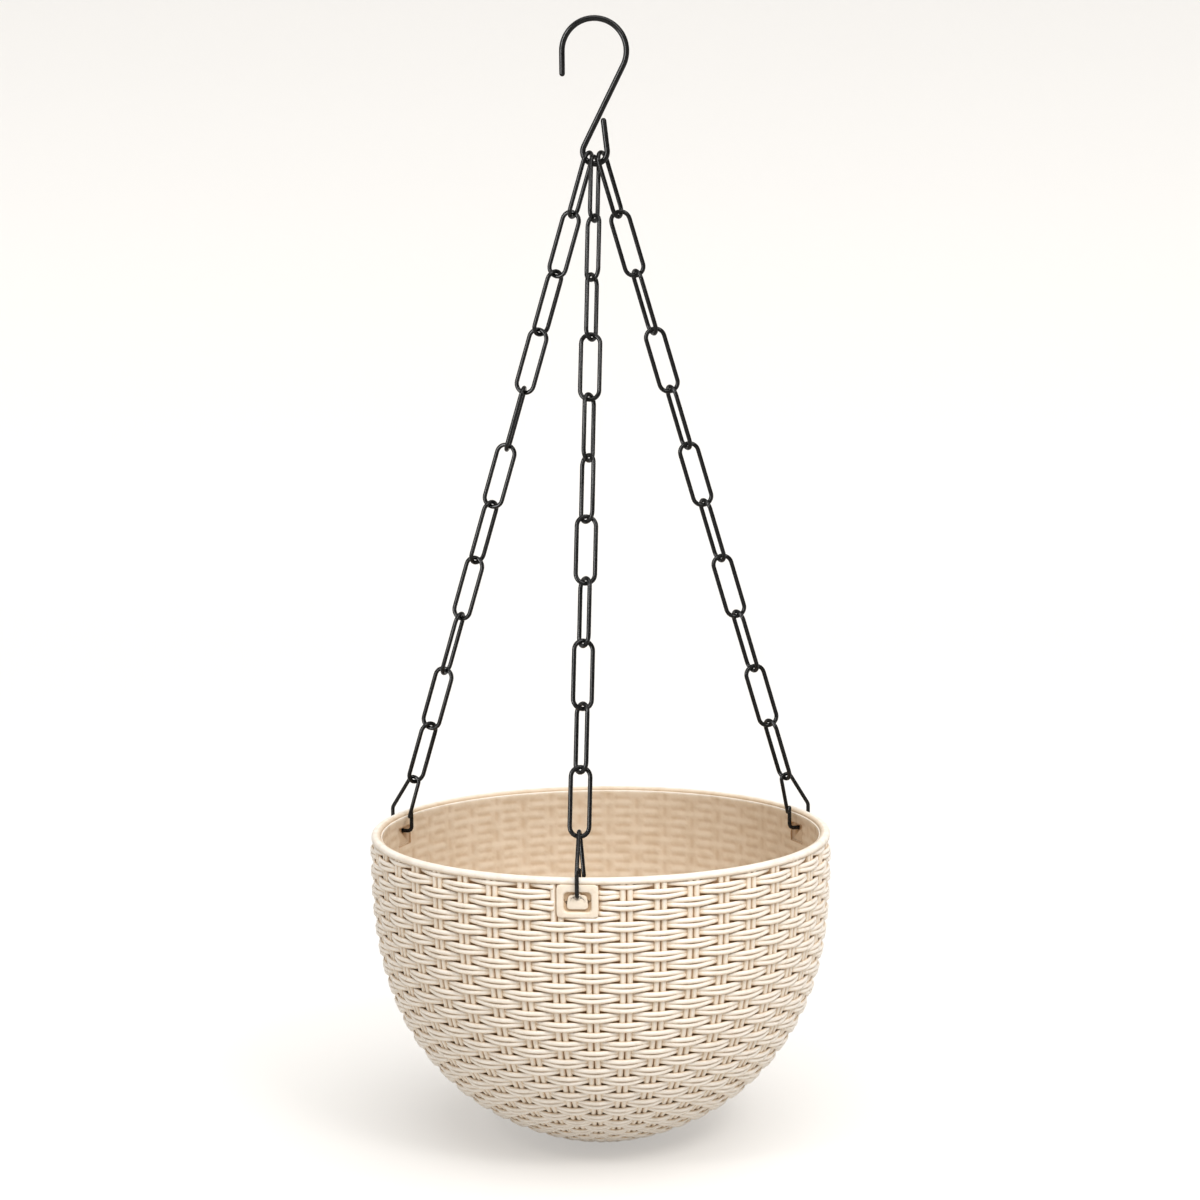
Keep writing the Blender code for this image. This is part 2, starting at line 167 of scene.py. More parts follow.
# Pads below the rim
PAD_ANGLES = {"front": -5.5, "left": -112.0, "right": 112.0}
PAD_TOP = 3.4 * MM
PAD_BOTTOM = 20.7 * MM
PAD_WIDTH = 21.6 * MM
PAD_STAND = 1.35 * MM
PAD_CORNER = 1.6 * MM
PAD_EDGE = 0.5 * MM
WINDOW_WIDTH = 14.6 * MM
WINDOW_TOP = 7.3 * MM
WINDOW_BOTTOM = 18.0 * MM
WINDOW_DEPTH = 2.0 * MM
WINDOW_CORNER = 2.2 * MM
WINDOW_EDGE = 0.6 * MM
PANEL_MARGIN = 1.5 * MM
PANEL_TAPER = 1.0 * MM
PANEL_RISE = 1.3 * MM
PANEL_CORNER = 2.0 * MM
POCKET_WIDTH = 14.4 * MM
POCKET_TOP = 7.8 * MM
POCKET_BOTTOM = 18.2 * MM
POCKET_DEPTH = 0.9 * MM
HOLE_DIAMETER = 3.6 * MM
HOLE_DEPTH = 9.8 * MM

# Drain holes
DRAIN_COUNT = 6
DRAIN_DIAMETER = 6.5 * MM
DRAIN_CIRCLE = 27.0 * MM

# Fineness
WIRE_SIDES = 14
BEND_STEPS = 6
HALF_TURN_STEPS = 14
DOME_STEPS = 3
COLUMNS_PER_PAIR = 10
CANE_STEPS_PER_PAIR = 9
CANE_SIDES = 8
STAKE_SIDES = 6
STAKE_STEPS = 54
CORNER_STEPS = 48
WALL_STEPS = 30
ROD_SIDES = 32
SHARP_ANGLE = 45

# Pale floor that curves up behind
STAGE_GAP = 1.5 * MM
STAGE_REACH = 9.0
STAGE_BACK = 3.0
STAGE_CURVE = 1.5
STAGE_TOP = 6.0
STAGE_STEPS = 8

# Camera, from a pinhole fitted to the view: 1500 mm from the hook's line
CAMERA_DISTANCE = 1500.0 * MM
CAMERA_SIDE = 0.73 * MM
CAMERA_ABOVE_RIM = 308.86 * MM
CAMERA_PITCH = 0.1199
CAMERA_ROLL = -0.0082
CAMERA_LENS = 82.1

# Values that follow
RIM_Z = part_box("bowl")[1].z
HOOK_BEND = HOOK_BEND_INSIDE + HOOK_WIRE / 2
LOOP_BEND = LOOP_INSIDE + HOOK_WIRE / 2
LOOP_CENTRE_Z = -HOOK_BEND_INSIDE - HOOK_DROP
LINK_END = (LINK_WIDTH - LINK_WIRE) / 2
LINK_HALF = (LINK_LENGTH - LINK_WIRE) / 2
CLIP_EYE = CLIP_EYE_INSIDE + CLIP_WIRE / 2
RIM_OUTSIDE = BOWL_RADIUS + RIM_OVERHANG
RIM_INSIDE = RIM_OUTSIDE - RIM_WIDTH
PAD_FACE = BOWL_RADIUS + PAD_STAND
HOLE_RADIUS = BOWL_RADIUS - WALL / 2
FOOT_SHARE = (1 - (FOOT_RADIUS / BOWL_RADIUS) ** (1 / TUCK)) ** (1 / BELLY)
OUTLINE_DEPTH = BOWL_HEIGHT / FOOT_SHARE
MERGE = 0.005 * MM
UP = Vector((0, 0, 1))


def is_vert(item):
    return isinstance(item, bmesh.types.BMVert)


def is_edge(item):
    return isinstance(item, bmesh.types.BMEdge)


class Wire:
    """A round wire grown from its end ring, straight by straight and bend by bend."""

    def __init__(self, diameter, place, heading):
        self.work = bmesh.new()
        self.radius = diameter / 2
        self.place = Vector(place)
        self.heading = Vector(heading).normalized()
        ring = bmesh.ops.create_circle(self.work, segments=WIRE_SIDES, radius=self.radius)
        turn = self.heading.to_track_quat("Z", "Y").to_matrix().to_4x4()
        matrix = Matrix.Translation(self.place) @ turn
        bmesh.ops.transform(self.work, matrix=matrix, verts=ring["verts"])
        self.tip = list(self.work.edges)
        self.tail = list(self.tip)

    def feed(self, length):
        made = bmesh.ops.extrude_edge_only(self.work, edges=self.tip)["geom"]
        self.tip = [e for e in made if is_edge(e)]
        step = self.heading * length
        bmesh.ops.translate(self.work, vec=step, verts=[v for v in made if is_vert(v)])
        self.place += step
        return self

    def bend(self, towards, radius, angle, steps=BEND_STEPS):
        """Bend the heading towards a direction square to it."""
        centre = self.place + towards * radius
        axis = self.heading.cross(towards)
        ring = self.tip + list({v for e in self.tip for v in e.verts})
        spun = bmesh.ops.spin(self.work, geom=ring, cent=centre, axis=axis, angle=angle,
                              steps=steps, use_merge=False)
        self.tip = [e for e in spun["geom_last"] if is_edge(e)]
        turn = Matrix.Rotation(angle, 3, axis)
        self.place = centre + turn @ (self.place - centre)
        self.heading = turn @ self.heading
        return self

    def dome(self, edges, place, heading):
        """Round off one end of the wire."""
        ring = edges
        for i in range(DOME_STEPS):
            low = i / DOME_STEPS * pi / 2
            high = (i + 1) / DOME_STEPS * pi / 2
            made = bmesh.ops.extrude_edge_only(self.work, edges=ring)["geom"]
            ring = [e for e in made if is_edge(e)]
            verts = [v for v in made if is_vert(v)]
            rise = heading * self.radius * (sin(high) - sin(low))
            bmesh.ops.translate(self.work, vec=rise, verts=verts)
            centre = place + heading * self.radius * sin(high)
            share = cos(high) / cos(low)
            away = Matrix.Translation(-centre)
            bmesh.ops.scale(self.work, vec=(share, share, share), space=away, verts=verts)

    def finish_ends(self, first_place, first_heading):
        self.dome(self.tail, first_place, -first_heading)
        self.dome(self.tip, self.place, self.heading)
        bmesh.ops.remove_doubles(self.work, verts=self.work.verts, dist=MERGE)
        return self

    def close(self):
        bmesh.ops.remove_doubles(self.work, verts=self.work.verts, dist=MERGE)
        return self


def wire_through(diameter, corners, radii):
    """A wire along straight runs whose corners are bent to the radii given for them."""
    heading = (corners[1] - corners[0]).normalized()
    wire = Wire(diameter, corners[0], heading)
    first = corners[0].copy()
    for before, corner, after, radius in zip(corners, corners[1:], corners[2:], radii):
        into = (corner - before).normalized()
        away = (after - corner).normalized()
        turn = into.angle(away)
        cut = radius * sin(turn / 2) / cos(turn / 2)
        wire.feed((corner - wire.place).length - cut)
        towards = (away - into * away.dot(into)).normalized()
        wire.bend(towards, radius, turn)
    wire.feed((corners[-1] - wire.place).length)
    return wire.finish_ends(first, heading)


def hook_wire():
    """The hook: a large open bend above and a small closed loop below."""
    bend_z = -HOOK_BEND_INSIDE
    lean = asin((HOOK_BEND + LOOP_BEND) / HOOK_DROP)
    side = LOOP_BEND * cos(lean)
    rise = (LOOP_TAIL_RISE - LOOP_BEND * sin(lean)) / cos(lean)
    tail_x = rise * sin(lean) - side + (HOOK_WIRE + SEAT_GAP) / cos(lean)
    reach = sqrt(tail_x ** 2 + LOOP_TAIL_RISE ** 2)
    leave = atan2(LOOP_TAIL_RISE, tail_x) - acos(LOOP_BEND / reach)
    start = Vector((-HOOK_BEND, 0, bend_z - HOOK_TAIL))
    wire = Wire(HOOK_WIRE, start, UP)
    wire.feed(HOOK_TAIL)
    wire.bend(Vector((1, 0, 0)), HOOK_BEND, pi + lean, 3 * HALF_TURN_STEPS)
    shank = HOOK_DROP * cos(lean)
    wire.feed(shank)
    towards = wire.heading.cross(Vector((0, 1, 0))).normalized()
    if towards.x < 0:
        towards = -towards
    wire.bend(towards, LOOP_BEND, pi + lean + leave, 2 * HALF_TURN_STEPS)
    wire.feed(sqrt(reach ** 2 - LOOP_BEND ** 2))
    return wire.finish_ends(start, UP)


def link_wire(middle, along, width):
    """A closed link: two straight sides joined by half circles."""
    straight = LINK_HALF - LINK_END
    start = middle + width * LINK_END - along * straight
    wire = Wire(LINK_WIRE, start, along)
    wire.feed(2 * straight)
    wire.bend(-width, LINK_END, pi, HALF_TURN_STEPS)
    wire.feed(2 * straight)
    wire.bend(width, LINK_END, pi, HALF_TURN_STEPS)
    return wire.close()


def clip_wire(hole, along, across):
    """A clip: through the pad's hole, over the rim, through the last link and back."""
    outward = UP.cross(across)
    place = Matrix((across, outward, UP)).transposed()
    lean = asin(sqrt(along.x ** 2 + along.y ** 2))
    up = Vector((0, -sin(lean), cos(lean)))
    out = Vector((0, cos(lean), sin(lean)))
    stand = RIM_OUTSIDE - HOLE_RADIUS + CLIP_WIRE / 2 + SEAT_GAP
    inside = -WALL / 2 - CLIP_REACH_INSIDE
    beside = Vector((-CLIP_WIRE - SEAT_GAP, 0, 0))
    latch = Vector((0, inside, CLIP_LATCH_RISE))
    overlap = Vector((0, 0, CLIP_LATCH_OVERLAP / 2))
    shoulder = HOLE_DEPTH + CLIP_WIRE / 2 + CLIP_SHOULDER_RISE
    corners = [
        latch + overlap,
        Vector((0, inside, 0)),
        Vector((0, stand, 0)),
        Vector((0, stand, shoulder)),
        up * CLIP_LENGTH + out * CLIP_EYE,
        up * CLIP_LENGTH - out * CLIP_EYE,
        latch - overlap + beside,
    ]
    radii = [CLIP_BEND, CLIP_BEND, CLIP_SHOULDER_BEND, CLIP_EYE * 0.98, CLIP_EYE * 0.98]
    return wire_through(CLIP_WIRE, [hole + place @ c for c in corners], radii)


def outline(depth, inset=0.0):
    """Radius of the bowl at a depth below the rim, a named inset inside its outline."""
    radius = BOWL_RADIUS - inset
    deep = OUTLINE_DEPTH - (BASE_THICKNESS if inset >= WALL else 0.0)
    return radius * max(0.0, 1 - (depth / deep) ** BELLY) ** TUCK


class WallLine:
    """The outer outline measured along its length, from the rim down to the foot."""

    STEPS = 900

    def __init__(self):
        self.points = []
        self.lengths = [0.0]
        for i in range(self.STEPS + 1):
            depth = BOWL_HEIGHT * sin(i / self.STEPS * pi / 2)
            self.points.append((outline(depth), depth))
        for (r0, d0), (r1, d1) in zip(self.points, self.points[1:]):
            self.lengths.append(self.lengths[-1] + sqrt((r1 - r0) ** 2 + (d1 - d0) ** 2))
        self.depths = [depth for radius, depth in self.points]
        self.rows = self.space_rows()
        self.starts = [length for length, pitch in self.rows]

    def between(self, values, value):
        """Step that a value falls in, and its share of the step."""
        low = min(self.STEPS, max(1, bisect_right(values, value))) - 1
        return low, (value - values[low]) / (values[low + 1] - values[low])

    def at(self, length):
        """Radius, depth and lean from upright at a length along the wall."""
        low, share = self.between(self.lengths, length)
        (r0, d0), (r1, d1) = self.points[low], self.points[low + 1]
        return r0 + (r1 - r0) * share, d0 + (d1 - d0) * share, atan2(r0 - r1, d1 - d0)

    def length_at_depth(self, depth):
        low, share = self.between(self.depths, depth)
        return self.lengths[low] + (self.lengths[low + 1] - self.lengths[low]) * share

    def space_rows(self):
        """Rows of weave: level steps, then even steps along the wall as it turns under."""
        rows = []
        length = self.length_at_depth(FIRST_ROW_DEPTH)
        while True:
            radius, depth, lean = self.at(length)
            if radius < WEAVE_END_RADIUS:
                return rows
            pitch = min(ROW_PITCH / cos(lean), ROW_PITCH_LIMIT)
            rows.append((length, pitch))
            length += pitch

    def length_at_row(self, row):
        """Length along the wall at a row, or between two rows."""
        whole = min(len(self.rows) - 1, max(0, int(row)))
        length, pitch = self.rows[whole]
        return length + (row - whole) * pitch

    def row_at_depth(self, depth):
        """Row, or share between two rows, at a depth below the rim."""
        length = self.length_at_depth(depth)
        whole = max(0, bisect_right(self.starts, length) - 1)
        return whole + (length - self.rows[whole][0]) / self.rows[whole][1]


wall_line = WallLine()
PAIR_TURN = 2 * pi / STAKE_COUNT


def around(angle, radius, z):
    """Point at an angle in radians from the front, left negative."""
    return Vector((radius * sin(angle), -radius * cos(angle), z))


def on_wall(angle, length, height):
    """Point above the recessed wall, at an angle and a length along the outline."""
    radius, depth, lean = wall_line.at(length)
    stand = height - RECESS
    return around(angle, radius + stand * cos(lean), RIM_Z - depth - stand * sin(lean))


def relief_share(radius):
    """The weave gets lower as the bowl narrows."""
    return min(1.0, (radius / (0.62 * BOWL_RADIUS)) ** 0.8)


def float_share(pairs, row):
    """Where a row's cane is: 0 at the crown over a pair of ribs, 1 behind the next pair."""
    phase = (pairs + row + 1) % 2
    return min(phase, 2 - phase)


def cane_section(share, upper):
    """Offset along the wall, height and half width of a cane at a share of its float."""
    end = min(1.0, share / FLOAT_END)
    lift = cos(min(1.0, share / CANE_UNDER) * pi / 2) ** 0.6
    height = -CANE_DIVE + (CANE_CROWN + CANE_DIVE) * lift
    if upper:
        offset = UPPER_HALF - FLOAT_HALF + UPPER_TUCK * end ** 4
        return offset, height - UPPER_SINK * end ** 2, UPPER_HALF
    offset = FLOAT_HALF - LOWER_HALF - LOWER_TUCK * sin(end * pi / 2) ** 2
    return offset, height, LOWER_HALF


def place_section(ring, painted_shade, row, upper, pairs):
    """Lay a cane's section where it crosses the wall, a number of pairs from the first."""
    length, pitch = wall_line.rows[row]
    scale = pitch / ROW_PITCH
    lower = relief_share(wall_line.at(length)[0])
    share = float_share(pairs, row)
    offset, height, half = cane_section(share, upper)
    if row == 0:
        height -= FIRST_ROW_TUCK
    angle = radians(STAKE_TURN) + pairs * PAIR_TURN
    # Painted shade on the cane's ends, where it dives behind the next pair of ribs
    shade = 1 - CANE_DIVE_SHADE * min(1.0, max(0.0, (share - CANE_DIVE_SHADE_FROM) / CANE_DIVE_SHADE_OVER))
    for side, vert in enumerate(ring):
        turn = (side + 0.5) / CANE_SIDES * 2 * pi
        above = max(height + CANE_THICKNESS * cos(turn), RECESS + WALL_COVER - WALL)
        along = (offset + half * sin(turn)) * scale
        vert.co = on_wall(angle, length + along, above * lower)
        # Painted light and shade: lighter on the cane's upper, outward side and darker underneath, as if lit
        # from above
        lit = CANE_SHADE[0] + CANE_SHADE[1] * cos(turn + CANE_LIT_SIDE)
        vert[painted_shade] = shade * min(1.0, max(0.0, lit))


def add_cane(work, painted_shade, row, upper):
    """One wave of a row's cane, over one pair of ribs and under the next."""
    ring = bmesh.ops.create_circle(work, segments=CANE_SIDES, radius=CANE_THICKNESS)["verts"]
    place_section(ring, painted_shade, row, upper, 0.0)
    for step in range(1, 2 * CANE_STEPS_PER_PAIR + 1):
        grown = bmesh.ops.extrude_edge_only(work, edges=ring_edges(ring))["geom"]
        ring = in_order([v for v in grown if is_vert(v)], ring)
        place_section(ring, painted_shade, row, upper, step / CANE_STEPS_PER_PAIR)


def in_order(made, source):
    """The new ring's points in the order of the ring that they were extruded from."""
    new = set(made)
    return [next(e.other_vert(v) for e in v.link_edges if e.other_vert(v) in new) for v in source]


def repeat_around(work, count):
    """Repeat a shape evenly around the bowl."""
    geom = list(work.verts) + list(work.edges) + list(work.faces)
    bmesh.ops.spin(work, geom=geom, cent=(0, 0, 0), axis=UP, angle=2 * pi * (count - 1) / count,
                   steps=count - 1, use_duplicate=True)


def weave_band(rows):
    """Canes of some rows of the weave. The lip of the rim hides the upper cane of the first row."""
    work = bmesh.new()
    painted_shade = work.verts.layers.float.new("painted_shade")
    for row in rows:
        add_cane(work, painted_shade, row, False)
        if row > 0:
            add_cane(work, painted_shade, row, True)
    repeat_around(work, STAKE_COUNT // 2)
    bmesh.ops.remove_doubles(work, verts=work.verts, dist=MERGE)
    sink_behind_pads(work)
    bmesh.ops.recalc_face_normals(work, faces=work.faces)
    return work


def stakes():
    """The upright ribs, in pairs, from the rim down to the foot."""
    work = bmesh.new()
    painted_shade = work.verts.layers.float.new("painted_shade")
    first = RIM_HEIGHT - RIM_UNDER_ROUND
    last = wall_line.rows[-1][0] + wall_line.rows[-1][1] / 2
    made = bmesh.ops.create_grid(work, x_segments=STAKE_SIDES, y_segments=STAKE_STEPS, size=1.0)["verts"]
    for vert in made:
        length = first + (last - first) * (0.5 - 0.5 * vert.co.y)
        turn = pi * (0.5 + 0.5 * vert.co.x)
        radius = wall_line.at(length)[0]
        narrow = (radius / BOWL_RADIUS) ** STAKE_NARROWING
        rib = (STAKE_PAIR_WIDTH - STAKE_GROOVE) / 2 * narrow
        across = (rib + STAKE_GROOVE * narrow) / 2 - rib / 2 * cos(turn)
        height = (STAKE_HEIGHT + STAKE_ROOT) * sin(turn) ** 0.5 - STAKE_ROOT
        vert.co = on_wall(across / radius, length, height * relief_share(radius))
        # Painted shade: each rib darker towards its sides and the groove, lighter on its top
        vert[painted_shade] = STAKE_SHADE[0] + STAKE_SHADE[1] * sin(turn)
    faces = list({f for v in made for f in v.link_faces})
    bmesh.ops.mirror(work, geom=list(made) + faces, axis="X", merge_dist=0)
    turn = Matrix.Rotation(radians(STAKE_TURN), 3, "Z")
    bmesh.ops.rotate(work, verts=work.verts, cent=(0, 0, 0), matrix=turn)
    repeat_around(work, STAKE_COUNT)
    sink_behind_pads(work)
    bmesh.ops.recalc_face_normals(work, faces=work.faces)
    return work


def pad_cover(angle, depth):
    """1 behind a pad, 0 away from it."""
    reach = PAD_WIDTH / 2 / BOWL_RADIUS
    edge = 0.8 * MM / BOWL_RADIUS
    away = min(abs((angle - radians(pad) + pi) % (2 * pi) - pi) for pad in PAD_ANGLES.values())
    beside = min(1.0, max(0.0, (reach + edge - away) / edge))
    return beside * min(1.0, max(0.0, (PAD_BOTTOM - depth) / CANE_THICKNESS + 0.5))


def sink_behind_pads(work):
    """Take the canes and ribs that would cross a pad back into the wall."""
    inside = BOWL_RADIUS - WALL + POCKET_DEPTH + WALL_COVER
    for vert in work.verts:
        depth = RIM_Z - vert.co.z
        if depth < PAD_BOTTOM + CANE_THICKNESS:
            cover = pad_cover(atan2(vert.co.x, -vert.co.y), depth)
            vert.co.xy *= 1 - cover * (1 - inside / vert.co.xy.length)


def arc(centre, radius, start, end, steps, wide=None):
    """Points of a round corner, or of an oval one with a width of its own."""
    turns = [start + (end - start) * i / steps for i in range(steps + 1)]
    return [(centre[0] + (wide or radius) * cos(a), centre[1] + radius * sin(a)) for a in turns]


def rim_profile():
    """Section of the rolled rim as (radius, height), from the ledge inside over the top and under."""
    ledge = (RIM_INSIDE - LEDGE_ROUND, -LEDGE_DEPTH - LEDGE_ROUND)
    inner = (RIM_INSIDE + RIM_CREST_SLOPE, -RIM_INNER_ROUND)
    outer = (RIM_OUTSIDE - RIM_OUTER_ROUND, -RIM_OUTER_ROUND)
    under = (RIM_OUTSIDE - RIM_UNDER_ROUND, RIM_UNDER_ROUND - RIM_HEIGHT)
    points = arc(ledge, LEDGE_ROUND, pi, pi / 2, 3) + [(RIM_INSIDE, -LEDGE_DEPTH)]
    points += arc(inner, RIM_INNER_ROUND, pi, pi / 2, 8, RIM_CREST_SLOPE)
    points += arc(outer, RIM_OUTER_ROUND, pi / 2, 0, 8)
    return points + arc(under, RIM_UNDER_ROUND, 0, -pi / 2, 5)


def shell():
    """The bowl's wall, turned from its section, with a faint print of the weave inside."""
    work = bmesh.new()
    painted_shade = work.verts.layers.float.new("painted_shade")
    floor = BOWL_HEIGHT - BASE_THICKNESS
    inner = []
    for step in range(PRINT_STEPS * len(wall_line.rows)):
        depth = wall_line.at(wall_line.length_at_row(step / PRINT_STEPS))[1]
        if depth < floor:
            inner.append((outline(depth, WALL), -depth))
    outer = []
    low = wall_line.length_at_depth(RIM_HEIGHT)
    for i in range(WALL_STEPS + 1):
        radius, depth, lean = wall_line.at(low + (wall_line.lengths[-1] - low) * i / WALL_STEPS)
        recess = RECESS * relief_share(radius)
        recess *= min(1.0, max(0.0, (radius - FOOT_RADIUS) / (WEAVE_END_RADIUS - FOOT_RADIUS)))
        outer.append((radius - recess * cos(lean), -depth + recess * sin(lean)))
    profile = [(0, -floor), (outline(floor, WALL), -floor)] + inner[::-1]
    profile += rim_profile() + outer + [(0, -BOWL_HEIGHT)]
    first = radians(STAKE_TURN)
    line = [work.verts.new(around(first, radius, RIM_Z + height)) for radius, height in profile]
    edges = [work.edges.new(pair) for pair in zip(line, line[1:])]
    bmesh.ops.spin(work, geom=line + edges, cent=(0, 0, 0), axis=UP, angle=PAIR_TURN, steps=COLUMNS_PER_PAIR)
    repeat_around(work, STAKE_COUNT)
    bmesh.ops.remove_doubles(work, verts=work.verts, dist=MERGE)
    bmesh.ops.recalc_face_normals(work, faces=work.faces)
    # Painted light and shade per point; the outer recessed wall between the canes keeps 0, the darkest
    # painted shade
    for vert in work.verts:
        depth = RIM_Z - vert.co.z
        reach = vert.co.xy.length
        # Painted shade on the rim's inner slope and underside
        if depth < RIM_HEIGHT - MERGE and reach > RIM_INSIDE - MERGE:
            inward = max(0.0, 1 - (reach - RIM_INSIDE) / (RIM_SLOPE_SHARE * RIM_CREST_SLOPE))
            below = max(0.0, (depth - RIM_OUTER_ROUND) / (RIM_HEIGHT - RIM_OUTER_ROUND))
            vert[painted_shade] = 1.0 - RIM_SLOPE_SHADE * inward - RIM_UNDER_SHADE * below
        # Painted highlight on the ledge just inside the rim
        elif depth < LEDGE_DEPTH + LEDGE_ROUND + MERGE:
            vert[painted_shade] = 1.0
        # Painted shade in the hollows of the faint print, lighter on its floats; the print is also pressed
        # into the wall
        elif reach < outline(depth, WALL / 2) and depth < floor - MERGE:
            cast = weave_print(atan2(vert.co.x, -vert.co.y), wall_line.row_at_depth(depth))
            vert[painted_shade] = PRINT_SHADE[0] + PRINT_SHADE[1] * cast
            vert.co.xy *= 1 - PRINT_HEIGHT * cast / reach
        elif reach < outline(depth, WALL / 2) or depth >= floor - MERGE:
            vert[painted_shade] = PLAIN_SHADE
    return work


def weave_print(angle, row):
    """The weave as it shows faintly on the inside: 1 on a float, 0 in a hollow."""
    pairs = (angle - radians(STAKE_TURN)) / PAIR_TURN
    nearest = max(0, round(row))
    offset = abs(row - nearest)
    share = float_share(pairs, nearest)
    if share < FLOAT_END and offset < 0.5 - 0.2 * share:
        return 1.0 - 1.2 * offset
    beside = abs(pairs - round(pairs)) * 2 * pi * BOWL_RADIUS / STAKE_COUNT
    return 0.55 if STAKE_GROOVE < beside < STAKE_PAIR_WIDTH / 2 else 0.0


def pad_place(angle, radius, z):
    """Place whose X runs across the pad, Y out of the bowl and Z up."""
    turn = Matrix.Rotation(radians(angle) + pi, 4, "Z")
    return Matrix.Translation(around(radians(angle), radius, z)) @ turn


def loop(work, width, low, high, corner, out, taper=0.0):
    """A rounded rectangle of points, narrower at its top by the taper on each side."""
    height = high - low
    ring = bmesh.ops.create_circle(work, segments=CORNER_STEPS, radius=1.0)["verts"]
    for vert in ring:
        x, z = squared(atan2(vert.co.y, vert.co.x), width / 2, height / 2, corner)
        x -= taper * (z / height + 0.5) * min(1.0, abs(x) / corner) * (1 if x > 0 else -1)
        vert.co = (x, out, (low + high) / 2 + z)
    return ring


def squared(angle, half_width, half_height, corner):
    """Point of a rounded rectangle in the direction of an angle."""
    low, high = 0.0, half_width + half_height
    across, up = cos(angle), sin(angle)
    for _ in range(30):
        reach = (low + high) / 2
        x = max(0.0, abs(across) * reach - half_width + corner)
        z = max(0.0, abs(up) * reach - half_height + corner)
        if sqrt(x * x + z * z) > corner:
            high = reach
        else:
            low = reach
    return across * low, up * low


def ring_edges(ring):
    found = set(ring)
    return list({e for v in ring for e in v.link_edges if set(e.verts) <= found})


def bridge(work, first, second):
    bmesh.ops.bridge_loops(work, edges=ring_edges(first) + ring_edges(second))


def pad(angle):
    """A raised pad with a window, a tapered panel in it and the clip's hole."""
    work = bmesh.new()
    painted_shade = work.verts.layers.float.new("painted_shade")
    width, low, high = PAD_WIDTH, -PAD_BOTTOM, -PAD_TOP
    rings = [loop(work, width, low, high, PAD_CORNER, -PAD_STAND - 2 * RECESS)]
    for inset, out in ((0.0, -PAD_EDGE), (0.3 * PAD_EDGE, -0.3 * PAD_EDGE), (PAD_EDGE, 0.0)):
        rings.append(loop(work, width - 2 * inset, low + inset, high - inset, PAD_CORNER, out))
    width, low, high = WINDOW_WIDTH, -WINDOW_BOTTOM, -WINDOW_TOP
    for inset, out in ((-WINDOW_EDGE, 0.0), (-0.3 * WINDOW_EDGE, -0.3 * WINDOW_EDGE), (0.0, -WINDOW_EDGE),
                       (0.25 * PANEL_MARGIN, -WINDOW_DEPTH)):
        rings.append(loop(work, width - 2 * inset, low + inset, high - inset, WINDOW_CORNER, out))
    width, low, high = width - 2 * PANEL_MARGIN, low + PANEL_MARGIN, high - PANEL_MARGIN
    face = PANEL_RISE - WINDOW_DEPTH
    for inset, out in ((0.0, -WINDOW_DEPTH), (0.05 * PANEL_MARGIN, face - PAD_EDGE),
                       (0.1 * PANEL_MARGIN, face - 0.3 * PAD_EDGE), (0.35 * PANEL_MARGIN, face)):
        rings.append(loop(work, width - 2 * inset, low + inset, high - inset, PANEL_CORNER, out, PANEL_TAPER))
    for out in (face, -WINDOW_DEPTH - WALL / 2):
        half = HOLE_DIAMETER / 2
        rings.append(loop(work, HOLE_DIAMETER, -HOLE_DEPTH - half, -HOLE_DEPTH + half, half, out))
    for first, second in zip(rings, rings[1:]):
        bridge(work, first, second)
    # Painted shade on the pad's root, the window's floor, the panel's foot and the deep end of the hole; the
    # rest of the pad lighter
    for index, ring in enumerate(rings):
        for vert in ring:
            vert[painted_shade] = PAD_ROOT_SHADE if index in (0, 7, 8, 13) else PAD_SHADE
    bmesh.ops.transform(work, matrix=pad_place(angle, PAD_FACE, RIM_Z), verts=work.verts)
    bmesh.ops.recalc_face_normals(work, faces=work.faces)
    return work


def add_box(work, size, place):
    made = bmesh.ops.create_cube(work, size=1.0)["verts"]
    bmesh.ops.scale(work, vec=size, verts=made)
    bmesh.ops.transform(work, matrix=place, verts=made)


def add_rod(work, diameter, length, place):
    made = bmesh.ops.create_cone(work, cap_ends=True, segments=ROD_SIDES, radius1=diameter / 2,
                                 radius2=diameter / 2, depth=length)["verts"]
    bmesh.ops.transform(work, matrix=place, verts=made)


